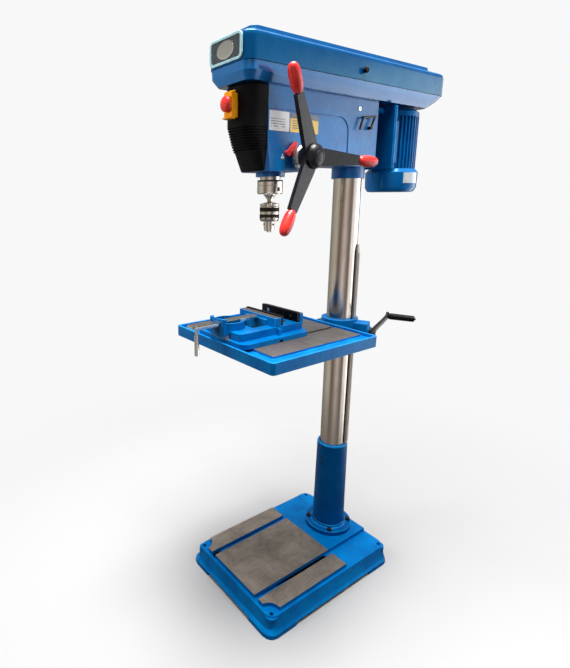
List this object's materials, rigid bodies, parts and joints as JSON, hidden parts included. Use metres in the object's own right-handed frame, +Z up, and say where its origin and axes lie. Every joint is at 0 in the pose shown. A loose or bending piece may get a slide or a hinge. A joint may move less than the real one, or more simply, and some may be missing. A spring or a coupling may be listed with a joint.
{
  "type": "floor-standing drill press",
  "caption": "Floor-standing pillar drill press with rack-lifted tilting table, drill vise, three-arm feed wheel, keyed chuck, belt drive under a hinged cover and a finned motor.",
  "frame": {"origin": "middle of the machine's plan outline, on the floor under the base's feet", "axes": "+Z up, -Y towards the operator in front of the nose, +X to the operator's right, the side of the feed arms"},
  "size_m": [0.48, 1.014, 1.78],
  "materials": {
    "blue_casting": "gloss",
    "blue_sheet": "gloss",
    "motor_blue": "satin",
    "ground_steel": "polished",
    "knurled_steel": "satin",
    "machined_steel": "satin",
    "jaw_steel": "satin",
    "black_steel": "gloss",
    "dial_metal": "satin",
    "black_plastic": "matte",
    "red_plastic": "gloss",
    "yellow_plastic": "satin",
    "green_plastic": "gloss",
    "cast_aluminium": "satin",
    "belt_rubber": "matte",
    "badge_plate": "gloss"
  },
  "bodies": {
    "root": {"base": "blue_casting", "column_sleeve": "blue_casting", "column": "ground_steel", "head_casting": "blue_casting", "nose_cover": "black_plastic", "belt_pan": "blue_sheet", "spindle_bearing": "ground_steel", "idler_post": "ground_steel", "spring_cap": "black_steel", "switch_base": "yellow_plastic", "belt_front": "belt_rubber"},
    "table_swing": {"rack": "machined_steel"},
    "table_lift": {"table_bracket": "blue_casting", "tilt_bolt": "machined_steel"},
    "crank": {"crank_shaft": "black_steel", "crank_arm": "black_steel"},
    "crank_grip": {"crank_grip": "black_plastic"},
    "bracket_clamp": {"bracket_clamp_lever": "black_steel"},
    "table_tilt": {"table": "blue_casting", "vise_body": "blue_casting", "vise_fixed_plate": "jaw_steel"},
    "vise_slide": {"vise_moving_jaw": "blue_casting", "vise_moving_plate": "jaw_steel", "vise_bar": "machined_steel"},
    "vise_handle": {"vise_handle": "machined_steel"},
    "feed": {"feed_shaft": "ground_steel", "depth_dial": "dial_metal", "feed_hub": "black_steel", "feed_arm_1": "black_steel", "feed_arm_2": "black_steel", "feed_arm_3": "black_steel", "feed_grip_1": "red_plastic", "feed_grip_2": "red_plastic", "feed_grip_3": "red_plastic"},
    "quill": {"quill": "ground_steel", "quill_collar": "ground_steel"},
    "spindle": {"spindle": "ground_steel", "chuck_body": "ground_steel"},
    "chuck_sleeve": {"chuck_sleeve": "knurled_steel"},
    "chuck_jaw_1": {"chuck_jaw_1": "knurled_steel"},
    "chuck_jaw_2": {"chuck_jaw_2": "knurled_steel"},
    "chuck_jaw_3": {"chuck_jaw_3": "knurled_steel"},
    "quill_lock": {"quill_lock_lever": "red_plastic"},
    "tension_lever": {"tension_lever": "black_steel"},
    "switch_flap": {"switch_flap": "yellow_plastic"},
    "stop_mushroom": {"stop_mushroom": "red_plastic"},
    "start_button": {"start_button": "green_plastic"},
    "stop_button": {"stop_button": "red_plastic"},
    "belt_lid": {"belt_lid": "blue_sheet", "lid_knob": "black_plastic", "badge": "badge_plate"},
    "motor_slide": {"motor_housing": "motor_blue", "fan_cover": "blue_sheet", "motor_plate": "blue_sheet", "belt_rear": "belt_rubber"},
    "motor_pulley": {"motor_pulley": "cast_aluminium"},
    "motor_fan": {"motor_fan": "black_plastic"},
    "idler_pulley": {"idler_pulley": "cast_aluminium"},
    "spindle_pulley": {"spindle_pulley": "cast_aluminium"}
  },
  "joints": [
    {"name": "table_swing", "type": "hinge", "parent": "root", "child": "table_swing", "pos_m": [0, 0.121, 0.8], "axis": [0, 0, 1], "range_deg": [-90, 90]},
    {"name": "table_lift", "type": "slide", "parent": "table_swing", "child": "table_lift", "axis": [0, 0, 1], "range_m": [-0.3, 0.09]},
    {"name": "crank_turn", "type": "hinge", "parent": "table_lift", "child": "crank", "pos_m": [0, 0.121, 0.889], "axis": [0.9135, 0.4067, 0], "continuous": true},
    {"name": "crank_grip_spin", "type": "hinge", "parent": "crank", "child": "crank_grip", "pos_m": [-0.0154, 0.15558, 0.94306], "axis": [0.9135, 0.4067, 0], "continuous": true},
    {"name": "bracket_clamp", "type": "hinge", "parent": "table_lift", "child": "bracket_clamp", "pos_m": [-0.077, 0.121, 0.878], "axis": [0, 1, 0], "range_deg": [0, 60]},
    {"name": "table_tilt", "type": "hinge", "parent": "table_lift", "child": "table_tilt", "pos_m": [0, -0.115, 0.852], "axis": [0, 1, 0], "range_deg": [-45, 45]},
    {"name": "vise_jaw_slide", "type": "slide", "parent": "table_tilt", "child": "vise_slide", "axis": [0, 1, 0], "range_m": [-0.05, 0.054]},
    {"name": "vise_handle_swing", "type": "hinge", "parent": "vise_slide", "child": "vise_handle", "pos_m": [-0.002, -0.497, 0.987], "axis": [-1, 0, 0], "range_deg": [0, 100]},
    {"name": "feed_turn", "type": "hinge", "parent": "root", "child": "feed", "pos_m": [0, -0.18, 1.463], "axis": [1, 0, 0], "range_deg": [0, 360], "stiffness_Nm_per_rad": 0.35, "springref_deg": -538.58},
    {"name": "quill_travel", "type": "slide", "parent": "root", "child": "quill", "axis": [0, 0, -1], "range_m": [-0.001, 0.1205]},
    {"name": "spindle_spin", "type": "hinge", "parent": "quill", "child": "spindle", "pos_m": [0, -0.229, 1.4], "axis": [0, 0, 1], "continuous": true},
    {"name": "chuck_sleeve_turn", "type": "hinge", "parent": "spindle", "child": "chuck_sleeve", "pos_m": [0, -0.229, 1.3], "axis": [0, 0, 1], "range_deg": [-1710, 2040]},
    {"name": "chuck_jaw_1_travel", "type": "slide", "parent": "spindle", "child": "chuck_jaw_1", "axis": [0, -0.2756, 0.9613], "range_m": [-0.0105, 0.0125]},
    {"name": "chuck_jaw_2_travel", "type": "slide", "parent": "spindle", "child": "chuck_jaw_2", "axis": [0.2387, 0.1378, 0.9613], "range_m": [-0.0105, 0.0125]},
    {"name": "chuck_jaw_3_travel", "type": "slide", "parent": "spindle", "child": "chuck_jaw_3", "axis": [-0.2387, 0.1378, 0.9613], "range_m": [-0.0105, 0.0125]},
    {"name": "quill_lock_turn", "type": "hinge", "parent": "root", "child": "quill_lock", "pos_m": [0.062, -0.226, 1.474], "axis": [1, 0, 0], "range_deg": [0, 100]},
    {"name": "tension_lever_turn", "type": "hinge", "parent": "root", "child": "tension_lever", "pos_m": [0.062, 0.133, 1.566], "axis": [1, 0, 0], "range_deg": [-0.5, 61]},
    {"name": "switch_flap_lift", "type": "hinge", "parent": "root", "child": "switch_flap", "pos_m": [0, -0.3793, 1.6295], "axis": [-1, 0, 0], "range_deg": [0, 85]},
    {"name": "stop_mushroom_push", "type": "slide", "parent": "switch_flap", "child": "stop_mushroom", "axis": [0, 1, 0], "range_m": [0, 0.004], "stiffness_N_per_m": 600, "springref_m": -0.003},
    {"name": "start_button_push", "type": "slide", "parent": "root", "child": "start_button", "axis": [0, 1, 0], "range_m": [0, 0.002], "stiffness_N_per_m": 400, "springref_m": -0.002},
    {"name": "stop_button_push", "type": "slide", "parent": "root", "child": "stop_button", "axis": [0, 1, 0], "range_m": [0, 0.002], "stiffness_N_per_m": 400, "springref_m": -0.002},
    {"name": "belt_lid_open", "type": "hinge", "parent": "root", "child": "belt_lid", "pos_m": [-0.093, 0.057, 1.694], "axis": [0, -1, 0], "range_deg": [0, 100]},
    {"name": "motor_tension", "type": "slide", "parent": "root", "child": "motor_slide", "axis": [0, 1, 0], "range_m": [-0.01, 0]},
    {"name": "motor_spin", "type": "hinge", "parent": "motor_slide", "child": "motor_pulley", "pos_m": [0, 0.359, 1.7], "axis": [0, 0, 1], "continuous": true},
    {"name": "motor_fan_spin", "type": "hinge", "parent": "motor_slide", "child": "motor_fan", "pos_m": [0, 0.359, 1.415], "axis": [0, 0, 1], "continuous": true},
    {"name": "idler_spin", "type": "hinge", "parent": "root", "child": "idler_pulley", "pos_m": [0, 0.066, 1.7], "axis": [0, 0, 1], "continuous": true},
    {"name": "spindle_pulley_spin", "type": "hinge", "parent": "root", "child": "spindle_pulley", "pos_m": [0, -0.229, 1.7], "axis": [0, 0, 1], "continuous": true}
  ],
  "couplings": [
    {"joint": "crank_turn", "follows": "table_lift", "rad_per_m": 625},
    {"joint": "quill_travel", "follows": "feed_turn", "m_per_rad": 0.0191},
    {"joint": "chuck_jaw_1_travel", "follows": "chuck_sleeve_turn", "m_per_rad": 0.00035},
    {"joint": "chuck_jaw_2_travel", "follows": "chuck_sleeve_turn", "m_per_rad": 0.00035},
    {"joint": "chuck_jaw_3_travel", "follows": "chuck_sleeve_turn", "m_per_rad": 0.00035},
    {"joint": "tension_lever_turn", "follows": "motor_tension", "rad_per_m": -104.7},
    {"joint": "motor_fan_spin", "follows": "motor_spin", "ratio": 1},
    {"joint": "idler_spin", "follows": "motor_spin", "ratio": 0.52941},
    {"joint": "spindle_pulley_spin", "follows": "motor_spin", "ratio": 0.42264},
    {"joint": "spindle_spin", "follows": "motor_spin", "ratio": 0.42264}
  ]
}
